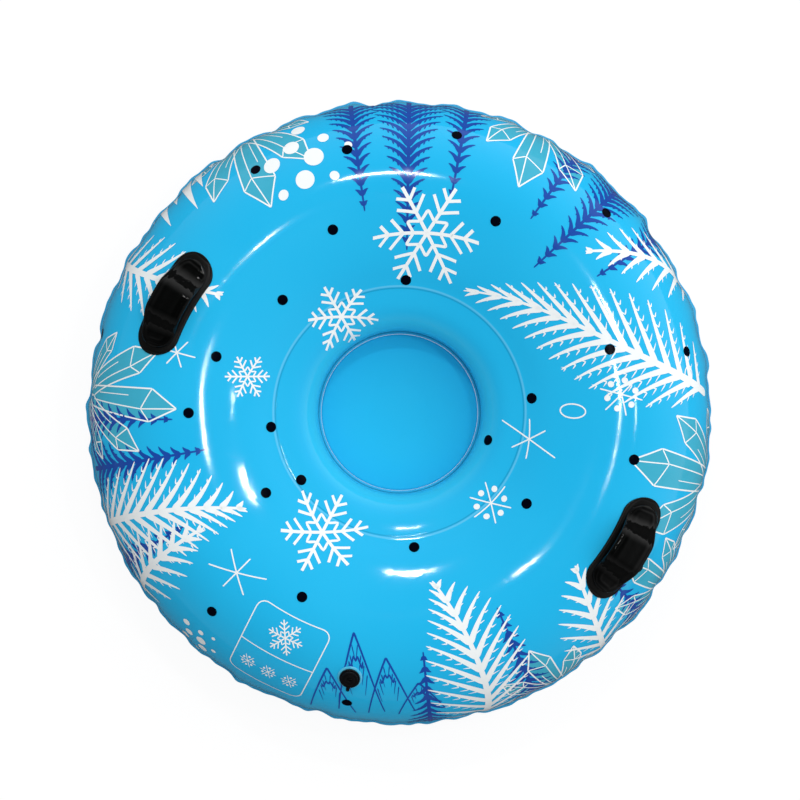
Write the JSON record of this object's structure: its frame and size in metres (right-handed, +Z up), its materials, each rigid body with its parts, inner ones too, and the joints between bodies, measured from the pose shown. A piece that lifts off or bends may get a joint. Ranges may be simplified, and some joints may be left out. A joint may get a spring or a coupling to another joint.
{
  "type": "snow tube",
  "caption": "Inflatable snow tube: a printed vinyl ring with a welded seat floor, grab handles on the crown and a screw-in air valve with a cap.",
  "frame": {"origin": "on the ground, under the middle of the ring, with the tube lying flat and blown up", "axes": "+Z up along the ring's axis; -Y towards the side with the air valve; +X to the right of a viewer who faces that side"},
  "size_m": [1.0139, 1.014, 0.3436],
  "materials": {
    "sky_vinyl": "glossy printed vinyl film",
    "base_vinyl": "plain vinyl film, half gloss",
    "floor_vinyl": "plain vinyl film, half gloss",
    "black_vinyl": "glossy moulded vinyl",
    "clear_vinyl": "milky clear vinyl",
    "black_plastic": "moulded, half gloss",
    "grey_rubber": "matt moulded rubber"
  },
  "bodies": {
    "tube": {"top_sheet": "sky_vinyl", "base_sheet": "base_vinyl", "seat_floor": "floor_vinyl", "outer_seam": "sky_vinyl", "inner_seam": "sky_vinyl", "stay_band": "base_vinyl", "left_handle_patch": "black_vinyl", "left_handle_grip": "black_vinyl", "right_handle_patch": "black_vinyl", "right_handle_grip": "black_vinyl", "valve_weld_ring": "clear_vinyl", "valve_base": "black_plastic"},
    "seal": {"valve_seal": "grey_rubber"},
    "insert": {"valve_insert": "black_plastic", "cap_strap": "black_plastic"},
    "flap": {"check_flap": "grey_rubber"},
    "cap": {"valve_cap": "black_plastic"}
  },
  "joints": [
    {"name": "seal_lift", "type": "slide", "parent": "tube", "child": "seal", "axis": [-0.0762, -0.4072, 0.9101], "range_m": [0, 0.014]},
    {"name": "insert_screw", "type": "hinge", "parent": "seal", "child": "insert", "pos_m": [-0.07758, -0.41455, 0.29379], "axis": [-0.0762, -0.4072, 0.9101], "range_deg": [0, 1440]},
    {"name": "flap_hinge", "type": "hinge", "parent": "insert", "child": "flap", "pos_m": [-0.08498, -0.4095, 0.28587], "axis": [0.1674, 0.8946, 0.4143], "range_deg": [0, 75], "stiffness_Nm_per_rad": 0.0005, "springref_deg": -17.19},
    {"name": "cap_hinge", "type": "hinge", "parent": "insert", "child": "cap", "pos_m": [-0.08038, -0.42952, 0.29878], "axis": [0.9829, -0.184, 0], "range_deg": [0, 165]}
  ],
  "couplings": [
    {"joint": "insert_screw", "follows": "seal_lift", "rad_per_m": 1795.2}
  ]
}
